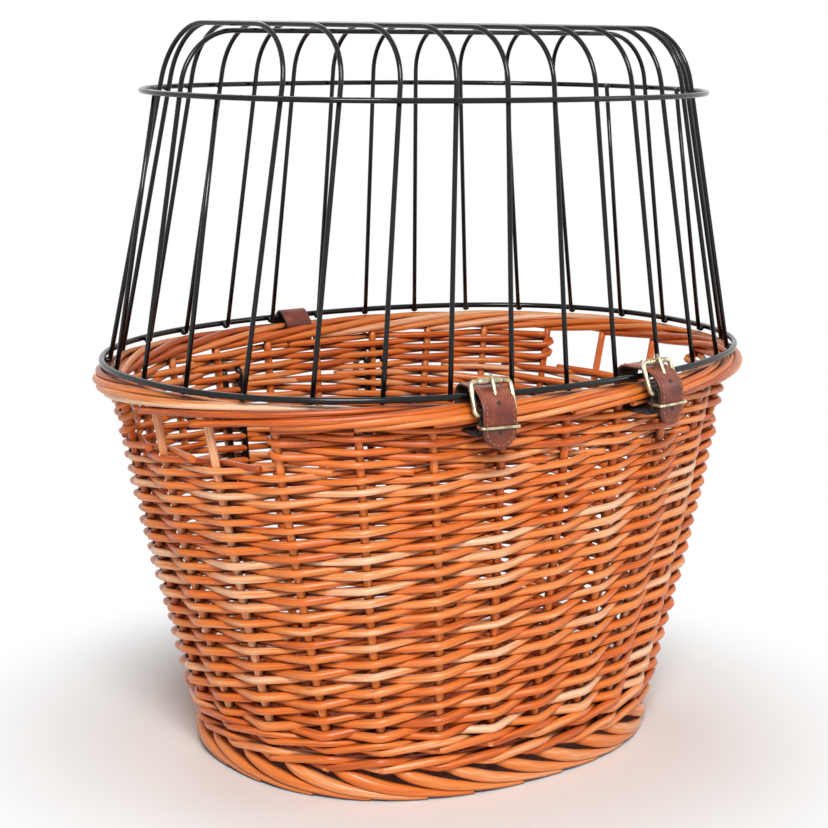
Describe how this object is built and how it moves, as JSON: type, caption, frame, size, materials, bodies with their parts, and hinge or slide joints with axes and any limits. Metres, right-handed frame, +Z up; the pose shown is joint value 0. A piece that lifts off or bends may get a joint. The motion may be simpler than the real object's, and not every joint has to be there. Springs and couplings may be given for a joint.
{
  "type": "bicycle basket",
  "caption": "Oval woven willow bicycle basket with hand holes, a hinged black wire guard dome, buckled leather straps at the front and two steel hooks at the back.",
  "frame": {"origin": "on the floor under the middle of the overall box", "axes": "+Z up, X along the basket's length, -Y the buckled front, +Y the hook side"},
  "size_m": [0.47, 0.379, 0.48],
  "materials": {
    "stained_willow": "stained and varnished willow rods",
    "black_coated_steel": "gloss black coating",
    "brown_leather": "smooth, waxed, stitched edges",
    "pale_brass": "brass-plated wire, polished"
  },
  "bodies": {
    "basket": {"foot_border": "stained_willow", "base_mat": "stained_willow", "upsett_wale": "stained_willow", "side_weave": "stained_willow", "front_panel_weave": "stained_willow", "back_panel_weave": "stained_willow", "left_hand_hole_stake_1": "stained_willow", "left_hand_hole_stake_2": "stained_willow", "right_hand_hole_stake_1": "stained_willow", "right_hand_hole_stake_2": "stained_willow", "rim_border": "stained_willow", "left_strap_belt": "brown_leather", "right_strap_belt": "brown_leather", "back_leather_loop": "brown_leather", "left_mounting_hook": "black_coated_steel", "right_mounting_hook": "black_coated_steel"},
    "guard": {"guard_lower_ring": "black_coated_steel", "guard_upper_ring": "black_coated_steel", "guard_spine_hoop": "black_coated_steel", "guard_hoop_01": "black_coated_steel", "guard_hoop_02": "black_coated_steel", "guard_hoop_03": "black_coated_steel", "guard_hoop_04": "black_coated_steel", "guard_hoop_05": "black_coated_steel", "guard_hoop_06": "black_coated_steel", "guard_hoop_07": "black_coated_steel", "guard_hoop_08": "black_coated_steel", "guard_hoop_09": "black_coated_steel", "guard_hoop_10": "black_coated_steel", "guard_hoop_11": "black_coated_steel", "guard_hoop_12": "black_coated_steel", "guard_short_bar_left_front": "black_coated_steel", "guard_short_bar_right_front": "black_coated_steel", "guard_short_bar_right_back": "black_coated_steel", "guard_short_bar_left_back": "black_coated_steel"},
    "left_tongue": {"left_strap_tongue": "brown_leather"},
    "left_buckle": {"left_buckle_strap": "brown_leather", "left_buckle_frame": "pale_brass"},
    "left_prong": {"left_buckle_prong": "pale_brass"},
    "left_keeper": {"left_strap_keeper": "pale_brass"},
    "right_tongue": {"right_strap_tongue": "brown_leather"},
    "right_buckle": {"right_buckle_strap": "brown_leather", "right_buckle_frame": "pale_brass"},
    "right_prong": {"right_buckle_prong": "pale_brass"},
    "right_keeper": {"right_strap_keeper": "pale_brass"}
  },
  "joints": [
    {"name": "guard_hinge", "type": "hinge", "parent": "basket", "child": "guard", "pos_m": [0, 0.16018, 0.266], "axis": [-1, 0, 0], "range_deg": [0, 95]},
    {"name": "left_tongue_swing", "type": "hinge", "parent": "basket", "child": "left_tongue", "pos_m": [-0.07886, -0.14299, 0.2456], "axis": [-0.9766, 0.2151, 0], "range_deg": [0, 104.5], "deforming": ["left_strap_tongue"]},
    {"name": "left_buckle_swing", "type": "hinge", "parent": "basket", "child": "left_buckle", "pos_m": [-0.08506, -0.17111, 0.244], "axis": [0.9766, -0.2151, 0], "range_deg": [0, 166.25], "deforming": ["left_buckle_strap"]},
    {"name": "left_prong_pivot", "type": "hinge", "parent": "left_buckle", "child": "left_prong", "pos_m": [-0.08566, -0.17385, 0.257], "axis": [0.9766, -0.2151, 0], "range_deg": [0, 45]},
    {"name": "left_keeper_slide", "type": "slide", "parent": "left_buckle", "child": "left_keeper", "axis": [0, 0, -1], "range_m": [0, 0.005]},
    {"name": "right_tongue_swing", "type": "hinge", "parent": "basket", "child": "right_tongue", "pos_m": [0.04388, -0.14849, 0.2456], "axis": [-0.995, -0.0998, 0], "range_deg": [0, 104.5], "deforming": ["right_strap_tongue"]},
    {"name": "right_buckle_swing", "type": "hinge", "parent": "basket", "child": "right_buckle", "pos_m": [0.04676, -0.17715, 0.244], "axis": [0.995, 0.0998, 0], "range_deg": [0, 166.25], "deforming": ["right_buckle_strap"]},
    {"name": "right_prong_pivot", "type": "hinge", "parent": "right_buckle", "child": "right_prong", "pos_m": [0.04704, -0.17994, 0.257], "axis": [0.995, 0.0998, 0], "range_deg": [0, 45]},
    {"name": "right_keeper_slide", "type": "slide", "parent": "right_buckle", "child": "right_keeper", "axis": [0, 0, -1], "range_m": [0, 0.005]}
  ],
  "couplings": [
    {"joint": "left_tongue_swing", "follows": "guard_hinge", "ratio": 1.1},
    {"joint": "left_buckle_swing", "follows": "guard_hinge", "ratio": 1.75},
    {"joint": "right_tongue_swing", "follows": "guard_hinge", "ratio": 1.1},
    {"joint": "right_buckle_swing", "follows": "guard_hinge", "ratio": 1.75}
  ]
}
